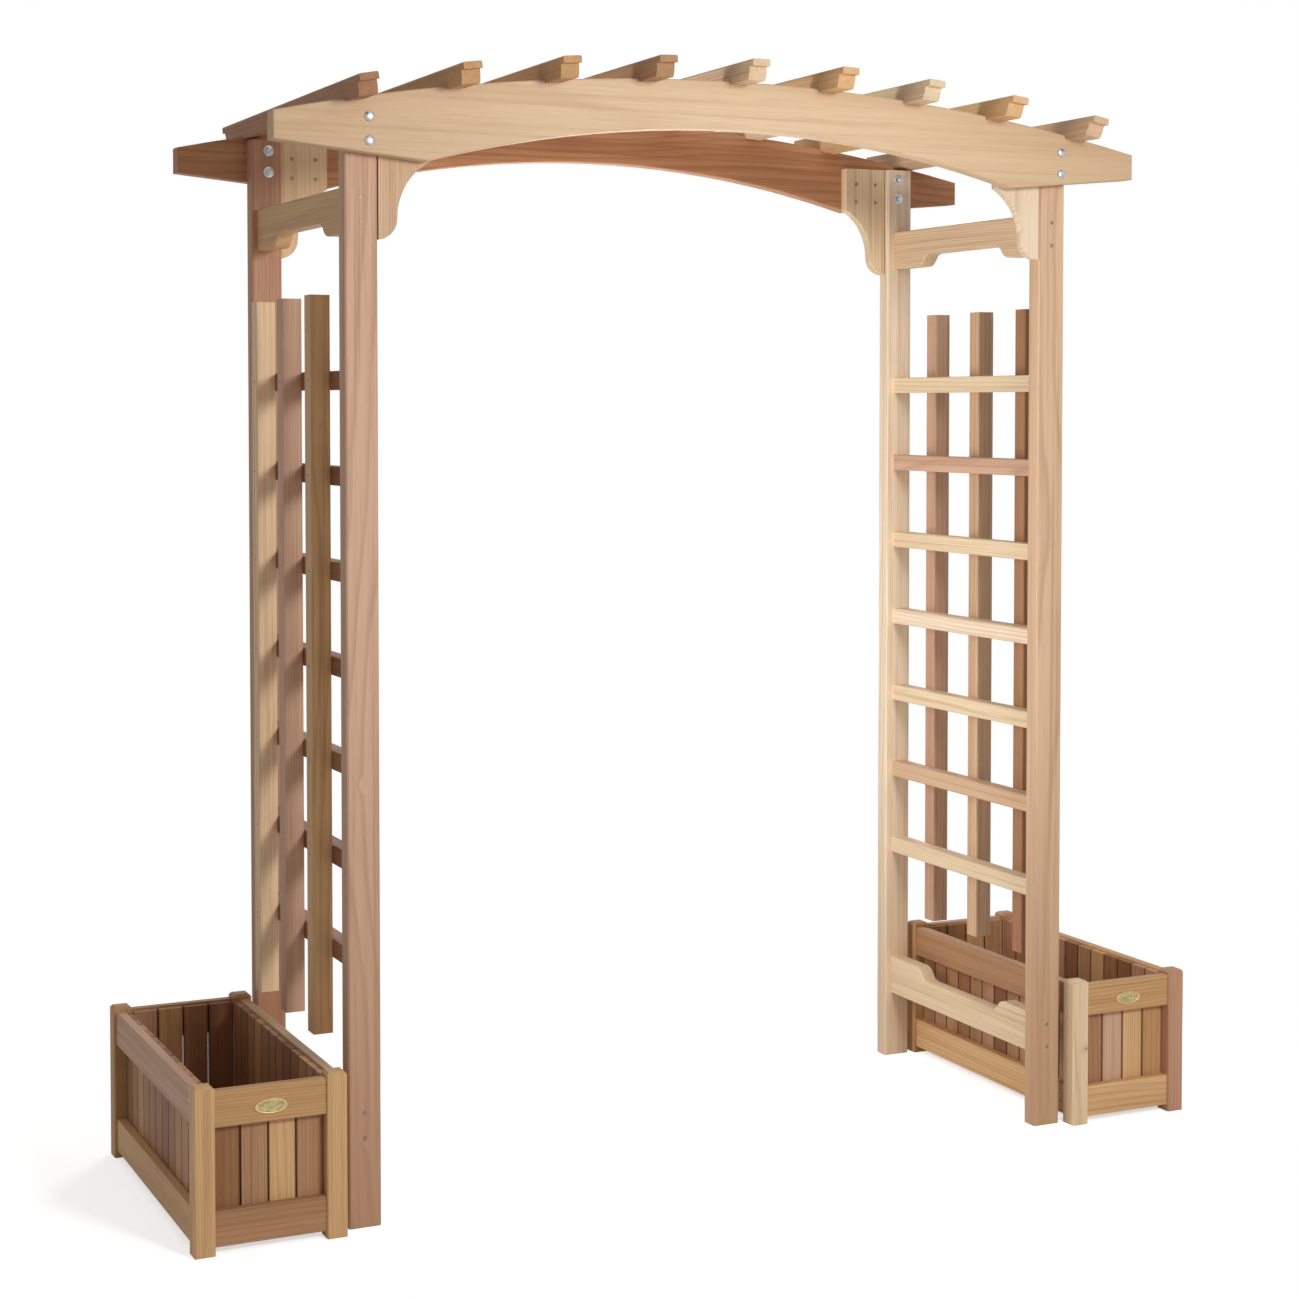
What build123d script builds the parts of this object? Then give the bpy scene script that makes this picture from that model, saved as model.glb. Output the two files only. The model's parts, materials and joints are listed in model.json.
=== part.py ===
from build123d import *
import os
from math import asin, degrees, sqrt

# Garden arbor with an arched top, trellis sides and two free-standing planter boxes.
# Sizes are in millimetres. X runs across the walkway, the front faces -Y and the ground is Z = 0.

# Posts
arbor_width = 1556.0
arbor_depth = 647.0
post_width = 62.0
post_depth = 38.0
post_ease = 3.0
post_top_gap = 4.0

# Arched beams
beam_length = 1842.0
beam_thickness = 38.0
arch_top_height = 2128.0
arch_top_rise = 100.0
beam_end_height = 51.0
beam_crown_height = 92.0
lower_arch_rise = 86.0
shoulder_from_post = 86.0
beam_ease = 2.0

# Rafters
rafter_count = 9
rafter_spacing = 192.5
rafter_length = 912.0
rafter_width = 36.0
rafter_height = 38.0
rafter_notch_depth = 6.0
rafter_notch_clearance = 0.5
rafter_lip_height = 13.0
rafter_lip_step = 15.0
rafter_nose_step = 7.0
rafter_ease = 2.0

# Brackets under the beams
bracket_thickness = 25.0
bracket_width = 99.0
bracket_height = 239.0
bracket_cheek_height = 95.0
bracket_foot_width = 36.0
bracket_foot_height = 40.0
bracket_post_gap = 2.0

# Top and bottom side rails
side_rail_thickness = 34.0
side_rail_inset = 17.0
side_rail_end_height = 84.0
side_rail_land = 104.0
ogee_run = 52.0
ogee_rise = 27.0
top_rail_below_post_top = 142.0
bottom_rail_bottom = 145.0
rail_ease = 2.0

# Trellis
trellis_rail_count = 7
trellis_pitch = 177.0
trellis_rail_height = 35.0
slat_count = 3
slat_pitch = 179.0
slat_width = 38.0
slat_thickness = 38.0
slat_overrun = 141.0
slat_over_planter = 30.0
slat_ease = 1.5

# Carriage bolts
bolt_from_inner_face = 27.0
bolt_below_beam_top = 60.0
bolt_spacing = 43.6
bolt_shank_diameter = 8.0
bolt_hole_clearance = 0.6
bolt_head_diameter = 18.5
bolt_head_height = 5.0
bolt_end_past_nut = 3.0
washer_diameter = 22.0
washer_thickness = 2.0
nut_across_flats = 13.0
nut_thickness = 6.5
nut_bore_clearance = 0.4
hidden_bore_sides = 6

# Planter boxes
planter_width = 282.0
planter_length = 672.0
planter_height = 303.0
planter_gap = 13.0
planter_ahead_of_posts = 33.0
leg_width = 38.0
leg_cap_chamfer = 5.0
leg_ease = 2.0
planter_rail_thickness = 19.0
planter_rail_inset = 5.0
planter_rail_ease = 1.5
top_rail_below_leg = 9.0
top_rail_height = 66.0
foot_height = 14.0
bottom_rail_height = 64.0
board_thickness = 12.0
board_gap = 3.0
board_below_rail_top = 4.0
board_above_rail_bottom = 4.0
long_board_count = 12
end_board_count = 4
cleat_size = 19.0
floor_slat_count = 9
floor_slat_thickness = 14.0
floor_slat_gap = 9.0
floor_clearance = 2.0

# Planes that several pieces share
post_outer_x = arbor_width / 2
post_inner_x = post_outer_x - post_width
bolt_x = post_inner_x + bolt_from_inner_face
post_outer_y = arbor_depth / 2
post_inner_y = post_outer_y - post_depth
beam_outer_y = post_outer_y + beam_thickness
rail_inner_x = post_inner_x + side_rail_inset
rail_outer_x = rail_inner_x + side_rail_thickness


def arc_radius(half_span, rise):
    """Radius of an arc that rises this far over this half span."""
    return (half_span ** 2 + rise ** 2) / (2 * rise)


arch_top_radius = arc_radius(beam_length / 2, arch_top_rise)


def arch_top_at(x):
    """Height of the beams' top edge at this distance from the middle."""
    return arch_top_height - arch_top_radius + sqrt(arch_top_radius ** 2 - x ** 2)


post_top = arch_top_at(post_outer_x) - rafter_notch_depth - post_top_gap


def box_between(x_span, y_span, z_span):
    """A box between three pairs of planes."""
    sizes = [span[1] - span[0] for span in (x_span, y_span, z_span)]
    middle = [(span[0] + span[1]) / 2 for span in (x_span, y_span, z_span)]
    return Pos(*middle) * Box(*sizes)


def straight_board(x_span, y_span, z_span, along, ease):
    """A straight board with its four long edges eased."""
    blank = box_between(x_span, y_span, z_span)
    return chamfer(blank.edges().filter_by(along), ease)


def other_side(shape):
    """The same shape across the walkway."""
    return shape.mirror(Plane.YZ)


def other_end(shape):
    """The same shape at the back instead of the front."""
    return shape.mirror(Plane.XZ)


def bolt_heights():
    """Heights of the lower and the upper bolt at a post."""
    middle = arch_top_at(bolt_x) - bolt_below_beam_top
    return (middle - bolt_spacing / 2, middle + bolt_spacing / 2)


def bolt_holes(x):
    """Cutters for the bolts that run through a post and its beam."""
    radius = (bolt_shank_diameter + bolt_hole_clearance) / 2
    hole = Rot(90, 0, 0) * Cylinder(radius, 2 * arbor_depth)
    return [Pos(x, 0, z) * hole for z in bolt_heights()]


def front_right_post():
    post = straight_board((post_inner_x, post_outer_x), (-post_outer_y, -post_inner_y), (0, post_top),
                          Axis.Z, post_ease)
    return post - bolt_holes(bolt_x)


def front_beam():
    """Arched beam on the front faces of the posts, with a lower arch over the walkway."""
    half = beam_length / 2
    top_end = arch_top_height - arch_top_rise
    low_end = top_end - beam_end_height
    low_crown = arch_top_height - beam_crown_height
    shoulder = (post_inner_x - shoulder_from_post, low_crown - lower_arch_rise)
    outline = Curve() + [
        ThreePointArc((-half, top_end), (0, arch_top_height), (half, top_end)),
        Polyline((half, top_end), (half, low_end), shoulder),
        ThreePointArc(shoulder, (0, low_crown), (-shoulder[0], shoulder[1])),
        Polyline((-shoulder[0], shoulder[1]), (-half, low_end), (-half, top_end)),
    ]
    face = Plane.XZ.offset(post_outer_y) * make_face(outline)
    blank = extrude(face, amount=beam_thickness)
    eased = chamfer(blank.edges().filter_by(Axis.Y, reverse=True), beam_ease)
    return eased - bolt_holes(bolt_x) - bolt_holes(-bolt_x)


def rafter(x):
    """Rafter square to the arch, notched over both beams, with stepped and rounded ends."""
    half = rafter_length / 2
    top = rafter_height - rafter_notch_depth
    under = -rafter_notch_depth
    lip = top - rafter_lip_height
    step = half - rafter_lip_step
    nose = step - rafter_nose_step
    notch_out = beam_outer_y + rafter_notch_clearance
    notch_in = post_outer_y - rafter_notch_clearance
    outline = Curve() + [
        Polyline((-step, lip), (-half, lip), (-half, top), (half, top), (half, lip), (step, lip)),
        TangentArc((step, lip), (nose, under), tangent=(0, -1)),
        Polyline((nose, under), (notch_out, under), (notch_out, 0), (notch_in, 0), (notch_in, under),
                 (-notch_in, under), (-notch_in, 0), (-notch_out, 0), (-notch_out, under), (-nose, under)),
        TangentArc((-step, lip), (-nose, under), tangent=(0, -1)),
    ]
    blank = extrude(Plane.YZ * make_face(outline), amount=rafter_width / 2, both=True)
    upper_edges = blank.edges().filter_by(Axis.Y).group_by(Axis.Z)[-1]
    eased = chamfer(upper_edges, rafter_ease)
    lean = degrees(asin(x / arch_top_radius))
    return Pos(x, 0, arch_top_at(x)) * Rot(0, lean, 0) * eased


def front_right_bracket():
    """Bracket behind the beam, coved down to a rounded foot against the post."""
    post_side = post_inner_x - bracket_post_gap
    inner_side = post_side - bracket_width
    cheek_end = post_top - bracket_cheek_height
    bottom = post_top - bracket_height
    foot = (post_side - bracket_foot_width, bottom + bracket_foot_height)
    outline = Curve() + [
        Polyline((post_side, bottom), (post_side, post_top), (inner_side, post_top),
                 (inner_side, cheek_end)),
        TangentArc(foot, (inner_side, cheek_end), tangent=(0, 1)),
        TangentArc(foot, (post_side, bottom), tangent=(0, -1)),
    ]
    face = Plane.XZ.offset(post_outer_y) * make_face(outline)
    return extrude(face, amount=-bracket_thickness)


def right_side_rail(straight_edge, direction):
    """Rail between the posts with an ogee at each end of its shaped edge."""
    half = post_inner_y
    deep = straight_edge + direction * side_rail_end_height
    shallow = deep - direction * ogee_rise
    land = half - side_rail_land
    flat = land - ogee_run
    turn = ((land + flat) / 2, (deep + shallow) / 2)
    mirrored_turn = (-turn[0], turn[1])
    outline = Curve() + [
        Polyline((land, deep), (half, deep), (half, straight_edge), (-half, straight_edge),
                 (-half, deep), (-land, deep)),
        TangentArc((-land, deep), mirrored_turn, tangent=(1, 0)),
        TangentArc((-flat, shallow), mirrored_turn, tangent=(-1, 0)),
        Line((-flat, shallow), (flat, shallow)),
        TangentArc((flat, shallow), turn, tangent=(1, 0)),
        TangentArc((land, deep), turn, tangent=(-1, 0)),
    ]
    face = Plane.YZ.offset(rail_inner_x) * make_face(outline)
    blank = extrude(face, amount=side_rail_thickness)
    long_edges = blank.edges().filter_by(Axis.X, reverse=True).filter_by(Axis.Z, reverse=True)
    return chamfer(long_edges, rail_ease)


slat_bottom = planter_height + slat_over_planter
first_trellis_rail = slat_bottom + slat_overrun
last_trellis_rail = first_trellis_rail + (trellis_rail_count - 1) * trellis_pitch
slat_top = last_trellis_rail + trellis_rail_height + slat_overrun


def right_trellis_rails():
    rails = []
    for row in range(trellis_rail_count):
        bottom = first_trellis_rail + row * trellis_pitch
        rails.append(straight_board((rail_inner_x, rail_outer_x), (-post_inner_y, post_inner_y),
                                    (bottom, bottom + trellis_rail_height), Axis.Y, rail_ease))
    return rails


def right_trellis_slats():
    """Upright slats on the outer faces of the trellis rails, front to back."""
    slats = []
    for column in range(slat_count):
        middle = (column - (slat_count - 1) / 2) * slat_pitch
        slats.append(straight_board((rail_outer_x, rail_outer_x + slat_thickness),
                                    (middle - slat_width / 2, middle + slat_width / 2),
                                    (slat_bottom, slat_top), Axis.Z, slat_ease))
    return slats


def carriage_bolt():
    """Dome-headed bolt along Z, with the underside of its head at Z = 0."""
    head = bolt_head_diameter / 2
    shank = bolt_shank_diameter / 2
    grip = beam_thickness + post_depth + washer_thickness + nut_thickness + bolt_end_past_nut
    dome_radius = arc_radius(head, bolt_head_height)
    dome_middle = (head / 2, bolt_head_height - dome_radius + sqrt(dome_radius ** 2 - (head / 2) ** 2))
    outline = Curve() + [
        ThreePointArc((0, bolt_head_height), dome_middle, (head, 0)),
        Polyline((head, 0), (shank, 0), (shank, -grip), (0, -grip), (0, bolt_head_height)),
    ]
    return revolve(Plane.XZ * make_face(outline), Axis.Z)


def hidden_bore(clearance):
    """Outline of a bore that the bolt hides, with few sides because it repeats so often."""
    return RegularPolygon((bolt_shank_diameter + clearance) / 2, hidden_bore_sides, major_radius=False)


def bolt_washer():
    """Washer along Z that lies on the post's inner face at Z = 0 and builds downwards."""
    ring = Circle(washer_diameter / 2) - hidden_bore(bolt_hole_clearance)
    return extrude(ring, amount=-washer_thickness)


def bolt_nut():
    """Hexagon nut along Z under the washer."""
    hexagon = RegularPolygon(nut_across_flats / 2, 6, major_radius=False) - hidden_bore(nut_bore_clearance)
    return Pos(0, 0, -washer_thickness) * extrude(hexagon, amount=-nut_thickness)


def at_every_bolt(shape, y):
    """Copies of a piece made along Z, turned outwards at both posts of both ends."""
    turned = Rot(90, 0, 0) * shape
    right_front = [Pos(bolt_x, -y, z) * turned for z in bolt_heights()]
    front = right_front + [other_side(piece) for piece in right_front]
    return front + [other_end(piece) for piece in front]


def right_planter():
    """All the pieces of the planter on the right, by name."""
    left = post_outer_x + planter_gap
    right = left + planter_width
    middle_x = (left + right) / 2
    front = -post_outer_y - planter_ahead_of_posts
    back = front + planter_length
    middle_y = (front + back) / 2
    top_rail = (planter_height - top_rail_below_leg - top_rail_height, planter_height - top_rail_below_leg)
    bottom_rail = (foot_height, foot_height + bottom_rail_height)
    between_legs_x = (left + leg_width, right - leg_width)
    between_legs_y = (front + leg_width, back - leg_width)
    rail_back = planter_rail_inset + planter_rail_thickness
    board_back = rail_back + board_thickness
    board_z = (bottom_rail[0] + board_above_rail_bottom, top_rail[1] - board_below_rail_top)

    def across(shape):
        """The same shape on the planter's other long side."""
        return shape.mirror(Plane.YZ.offset(middle_x))

    def along(shape):
        """The same shape at the planter's other end."""
        return shape.mirror(Plane.XZ.offset(-middle_y))

    def leg():
        spans = ((right - leg_width, right), (front, front + leg_width), (0, planter_height))
        capped = chamfer(box_between(*spans).faces().sort_by(Axis.Z)[-1].edges(), leg_cap_chamfer)
        return capped & straight_board(*spans, Axis.Z, leg_ease)

    def side_rail(z_span):
        return straight_board((right - rail_back, right - planter_rail_inset), between_legs_y, z_span,
                              Axis.Y, planter_rail_ease)

    def end_rail(z_span):
        return straight_board(between_legs_x, (front + planter_rail_inset, front + rail_back), z_span,
                              Axis.X, planter_rail_ease)

    def spread(span, count, gap):
        """Equal stretches of a span with a gap between them and half a gap at each end."""
        pitch = (span[1] - span[0]) / count
        starts = [span[0] + index * pitch for index in range(count)]
        return [(start + gap / 2, start + pitch - gap / 2) for start in starts]

    front_leg = leg()
    legs = [front_leg, across(front_leg), along(front_leg), across(along(front_leg))]
    top_side = side_rail(top_rail)
    bottom_side = side_rail(bottom_rail)
    top_end = end_rail(top_rail)
    bottom_end = end_rail(bottom_rail)
    side_boards = [box_between((right - board_back, right - rail_back), y_span, board_z)
                   for y_span in spread(between_legs_y, long_board_count, board_gap)]
    end_boards = [box_between(x_span, (front + rail_back, front + board_back), board_z)
                  for x_span in spread(between_legs_x, end_board_count, board_gap)]
    cleat = box_between((right - board_back - cleat_size, right - board_back), between_legs_y,
                        (board_z[0], board_z[0] + cleat_size))
    floor_z = (board_z[0] + cleat_size, board_z[0] + cleat_size + floor_slat_thickness)
    floor_x = (left + leg_width + floor_clearance, right - leg_width - floor_clearance)
    floor_slats = [box_between(floor_x, y_span, floor_z)
                   for y_span in spread(between_legs_y, floor_slat_count, floor_slat_gap)]
    return {
        "legs": legs,
        "top_side_rails": [top_side, across(top_side)],
        "top_end_rails": [top_end, along(top_end)],
        "bottom_side_rails": [bottom_side, across(bottom_side)],
        "bottom_end_rails": [bottom_end, along(bottom_end)],
        "outer_boards": side_boards,
        "inner_boards": [across(board) for board in side_boards],
        "front_boards": end_boards,
        "back_boards": [along(board) for board in end_boards],
        "floor_cleats": [cleat, across(cleat)],
        "floor_slats": floor_slats,
    }


def all_nodes():
    """Every named node with its list of solids."""
    nodes = {}
    post = front_right_post()
    bracket = front_right_bracket()
    for name, piece in (("post", post), ("bracket", bracket)):
        nodes[name + "_front_right"] = [piece]
        nodes[name + "_front_left"] = [other_side(piece)]
        nodes[name + "_back_right"] = [other_end(piece)]
        nodes[name + "_back_left"] = [other_side(other_end(piece))]
    beam = front_beam()
    nodes["arch_beam_front"] = [beam]
    nodes["arch_beam_back"] = [other_end(beam)]
    for index in range(rafter_count):
        station = (index - (rafter_count - 1) / 2) * rafter_spacing
        nodes[f"rafter_{index + 1}"] = [rafter(station)]
    sides = {
        "top_side_rail": [right_side_rail(post_top - top_rail_below_post_top, -1)],
        "bottom_side_rail": [right_side_rail(bottom_rail_bottom, 1)],
        "trellis_rails": right_trellis_rails(),
    }
    for place, slat in zip(("front", "middle", "back"), right_trellis_slats()):
        sides["trellis_slat_" + place] = [slat]
    for name, pieces in right_planter().items():
        sides["planter_" + name] = pieces
    for name, pieces in sides.items():
        nodes[name + "_right"] = pieces
        nodes[name + "_left"] = [other_side(piece) for piece in pieces]
    nodes["carriage_bolts"] = at_every_bolt(carriage_bolt(), beam_outer_y)
    nodes["bolt_washers"] = at_every_bolt(bolt_washer(), post_inner_y)
    nodes["bolt_nuts"] = at_every_bolt(bolt_nut(), post_inner_y)
    return nodes


os.makedirs("parts", exist_ok=True)
for node, pieces in all_nodes().items():
    solids = [solid for piece in pieces for solid in piece.solids()]
    shape = solids[0] if len(solids) == 1 else Compound(solids)
    export_step(shape, f"parts/{node}.step")
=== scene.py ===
"""Cedar arbor with two planter boxes: wood finishes, small fittings and a plain studio."""

import json
import math
import random

import bpy
from bpy.props import FloatProperty, FloatVectorProperty, PointerProperty
from bpy.types import Operator, Panel, PropertyGroup
from mathutils import Matrix, Vector

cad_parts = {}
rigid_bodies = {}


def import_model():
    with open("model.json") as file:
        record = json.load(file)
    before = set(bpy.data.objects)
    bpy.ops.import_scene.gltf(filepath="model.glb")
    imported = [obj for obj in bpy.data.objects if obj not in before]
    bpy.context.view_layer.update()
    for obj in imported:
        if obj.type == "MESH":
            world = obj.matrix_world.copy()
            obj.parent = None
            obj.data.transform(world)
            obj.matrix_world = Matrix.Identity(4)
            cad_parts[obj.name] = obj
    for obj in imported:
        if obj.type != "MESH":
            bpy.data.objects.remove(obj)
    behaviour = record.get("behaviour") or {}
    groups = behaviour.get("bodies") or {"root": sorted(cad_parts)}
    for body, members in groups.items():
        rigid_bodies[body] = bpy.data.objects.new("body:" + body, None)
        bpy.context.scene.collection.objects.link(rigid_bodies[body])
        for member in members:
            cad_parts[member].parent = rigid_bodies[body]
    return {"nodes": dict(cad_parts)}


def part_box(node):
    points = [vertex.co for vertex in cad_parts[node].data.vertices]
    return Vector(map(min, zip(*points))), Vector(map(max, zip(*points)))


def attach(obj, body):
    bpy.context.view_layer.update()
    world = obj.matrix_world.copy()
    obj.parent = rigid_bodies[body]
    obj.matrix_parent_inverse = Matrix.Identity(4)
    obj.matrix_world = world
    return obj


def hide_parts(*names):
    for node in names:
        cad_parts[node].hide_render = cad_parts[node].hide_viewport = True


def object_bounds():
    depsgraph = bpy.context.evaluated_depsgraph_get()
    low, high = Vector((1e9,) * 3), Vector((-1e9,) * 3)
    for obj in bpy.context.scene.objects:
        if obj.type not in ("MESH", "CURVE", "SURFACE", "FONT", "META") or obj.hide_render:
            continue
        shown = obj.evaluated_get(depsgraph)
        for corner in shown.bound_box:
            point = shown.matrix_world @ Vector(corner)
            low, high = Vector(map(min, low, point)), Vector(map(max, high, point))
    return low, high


for leftover in list(bpy.data.objects):
    bpy.data.objects.remove(leftover)

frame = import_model()
CAD_LOW, CAD_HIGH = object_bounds()

bl_info = {
    "name": "Cedar Arbor with Planter Boxes",
    "version": (1, 0, 0),
    "blender": (4, 5, 0),
    "location": "3D View > Sidebar > Arbor",
    "description": "Finishes a cedar arbor and its planter boxes",
    "category": "Object",
}

SIDES = ("left", "right")
CORNERS = ("front_left", "front_right", "back_left", "back_right")
SLAT_LINES = ("front", "middle", "back")
TRELLIS_RAILS = 7

# Distance in metres at which points count as one, and the normal's share along an axis of a flat face
TOUCHING = 0.00001
NEARLY_FLAT = 0.9

# Largest random turn of a screw, in radians
SCREW_TURN = 1.5

# Each lamp's place, the point that it faces, and its width and height, in metres
FRONT_LAMP = ((0.3, -3.4, 2.2), (0.0, 0.0, 1.1), (0.7, 0.7))
WALKWAY_LAMP = ((-0.55, 0.0, 1.15), (0.75, 0.0, 1.15), (0.5, 1.3))
BACK_LAMP = ((1.5, 3.4, 1.9), (0.0, 0.0, 1.0), (1.2, 1.2))


def seen(red, green, blue):
    """Turn a colour as it is seen on a screen, 0 to 255, into the linear values that shaders use."""
    linear = []
    for level in (red, green, blue):
        share = level / 255
        linear.append(share / 12.92 if share <= 0.04045 else ((share + 0.055) / 1.055) ** 2.4)
    return tuple(linear)


def tone(label, note, *levels):
    return FloatVectorProperty(
        name=label, description=note, subtype="COLOR", size=3, min=0.0, max=1.0, default=seen(*levels)
    )


def length(label, note, metres):
    return FloatProperty(name=label, description=note, default=metres, min=0.0, unit="LENGTH")


def plain(label, note, value):
    return FloatProperty(name=label, description=note, default=value)


# Settings that a user would change

class CedarTones(PropertyGroup):
    """Colours that cedar boards have when they are new."""
    cream: tone("Cream", "Palest sapwood", 236, 215, 187)
    wheat: tone("Wheat", "Bright golden board", 240, 208, 168)
    straw: tone("Straw", "Pale yellow board", 228, 204, 168)
    beige: tone("Beige", "Pale pinkish board", 224, 194, 158)
    sand: tone("Sand", "Plain light board", 212, 178, 144)
    honey: tone("Honey", "Warm light board", 218, 176, 126)
    blush: tone("Blush", "Pinkish board", 206, 167, 140)
    rose: tone("Rose", "Red and tan board", 192, 146, 116)
    olive: tone("Olive", "Greenish tan board", 186, 152, 110)
    amber: tone("Amber", "Golden brown board", 196, 152, 104)
    fawn: tone("Fawn", "Plain brown board", 180, 138, 100)
    chestnut: tone("Chestnut", "Middle brown board", 168, 122, 88)
    cinnamon: tone("Cinnamon", "Bright red brown board", 192, 138, 99)
    russet: tone("Russet", "Red brown board", 154, 106, 76)
    umber: tone("Umber", "Dark heartwood board", 150, 108, 70)
    walnut: tone("Walnut", "Darkest heartwood board", 140, 92, 64)
    knot: tone("Knot", "Heart of a knot", 100, 60, 38)


class MetalTones(PropertyGroup):
    """Colours of the fasteners and plates."""
    steel: tone("Steel", "Bright plating on bolts", 196, 198, 201)
    steel_cloud: tone("Steel Cloud", "Duller plating on bolts", 168, 170, 174)
    zinc: tone("Zinc", "Bright zinc on screws", 150, 138, 124)
    zinc_cloud: tone("Zinc Cloud", "Dull zinc on screws", 104, 92, 80)
    brass: tone("Brass", "Brushed brass", 212, 192, 142)
    brass_line: tone("Brass Line", "Brush marks on brass", 194, 172, 120)
    brass_cloud: tone("Brass Cloud", "Tarnish on brass", 160, 136, 90)
    field: tone("Field", "Sunk field of a plate", 196, 180, 130)
    field_cloud: tone("Field Cloud", "Tarnish on the field", 162, 148, 106)
    field_pit: tone("Field Pit", "Pits in the field", 128, 114, 78)


class GrainSettings(PropertyGroup):
    """Scale and strength of the grain, and of the painted shade and painted light drawn into the wood's
    colour.
    """
    ring_spacing: length("Ring Spacing", "Distance between growth rings", 0.0050)
    ring_strength: plain("Ring Strength", "How dark the late wood of a ring is", 0.50)
    streak_strength: plain("Streak Strength", "How far broad streaks change the tone", 0.70)
    vein_strength: plain("Vein Strength", "How dark narrow streaks are", 0.58)
    fibre_strength: plain("Fibre Strength", "How dark single fibres are", 0.26)
    # Painted light: how much paler sawn ends are drawn
    end_light_strength: plain("End Strength", "How much paler sawn ends are", 0.25)
    # Painted shade: posts drawn darker towards the ground, and how far up that reaches
    foot_shade_strength: plain("Foot Strength", "How much darker the feet of the posts are", 0.60)
    foot_shade_reach: length("Foot Reach", "How far up the posts that reaches", 0.90)
    # Painted shade: the front beam drawn darker towards its tips, and where that starts
    tip_shade_strength: plain("Tip Strength", "How much darker the tips of the front beam are", 0.50)
    tip_shade_start: length("Tip Start", "How far from the middle that starts", 0.10)
    # Painted shade: boards drawn darker along their seams, and how far that reaches
    seam_shade_strength: plain("Seam Strength", "How much darker boards are along their seams", 0.75)
    seam_shade_width: length("Seam Width", "How far that reaches from the middle of a seam", 0.0055)
    knot_radius: length("Knot Radius", "Radius of a small knot", 0.0055)
    relief: length("Relief", "Height of the raised grain", 0.0008)


class FittingSizes(PropertyGroup):
    """Sizes of the bolts, screws, nails and plates."""
    bolt_head: length("Bolt Head", "Width of a carriage bolt's head", 0.0185)
    bolt_dome: length("Bolt Dome", "Height of a carriage bolt's head", 0.005)
    bolt_shank: length("Bolt Shank", "Width of a bolt's thread", 0.008)
    thread_pitch: length("Thread Pitch", "Distance between threads", 0.00125)
    washer_width: length("Washer Width", "Outer width of a washer", 0.022)
    washer_thickness: length("Washer Thickness", "Thickness of a washer", 0.002)
    nut_flats: length("Nut Flats", "Width of a nut across its flats", 0.013)
    nut_height: length("Nut Height", "Height of a nut", 0.0065)
    bolt_past_nut: length("Bolt Past Nut", "Thread that shows past the nut", 0.003)
    screw_head: length("Screw Head", "Width of a wood screw's head", 0.0085)
    nail_head: length("Nail Head", "Width of a trellis nail's head", 0.0046)
    trellis_rail: length("Trellis Rail", "Height of a trellis rail", 0.035)
    plate_width: length("Plate Width", "Long width of an oval plate", 0.060)
    plate_height: length("Plate Height", "Short width of an oval plate", 0.026)
    plate_thickness: length("Plate Thickness", "Thickness of an oval plate", 0.0024)
    plate_drop: length("Plate Drop", "How far a plate sits below the rail's middle", 0.005)


class StageSettings(PropertyGroup):
    """Camera, lamps and floor."""
    camera_place: FloatVectorProperty(
        name="Camera Place", description="Where the camera stands", subtype="TRANSLATION",
        default=(-2.122, -4.4959, 1.5056)
    )
    camera_yaw: FloatProperty(
        name="Camera Yaw", description="Turn towards the right", subtype="ANGLE",
        default=math.radians(25.0619)
    )
    camera_pitch: FloatProperty(
        name="Camera Pitch", description="Tilt up", subtype="ANGLE",
        default=math.radians(-2.0876)
    )
    camera_lens: plain("Camera Lens", "Focal length in millimetres", 66.618)
    camera_shift: plain("Camera Shift", "Vertical shift of the frame", -0.12)
    key_power: plain("Key Power", "Watts of the front lamp", 65.0)
    fill_power: plain("Fill Power", "Watts of the lamp in the walkway", 13.0)
    back_power: plain("Back Power", "Watts of the lamp behind", 48.0)
    sky_strength: plain("Sky Strength", "Even light from all sides", 0.33)
    floor_reach: length("Floor Reach", "Size of the floor", 16.0)
    shadow_reach: length("Shadow Reach", "How far the shadow fades to white", 0.24)
    slide_reach: length("Slide Reach", "How far a planter is pulled out", 0.40)


# Shader maths

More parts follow.
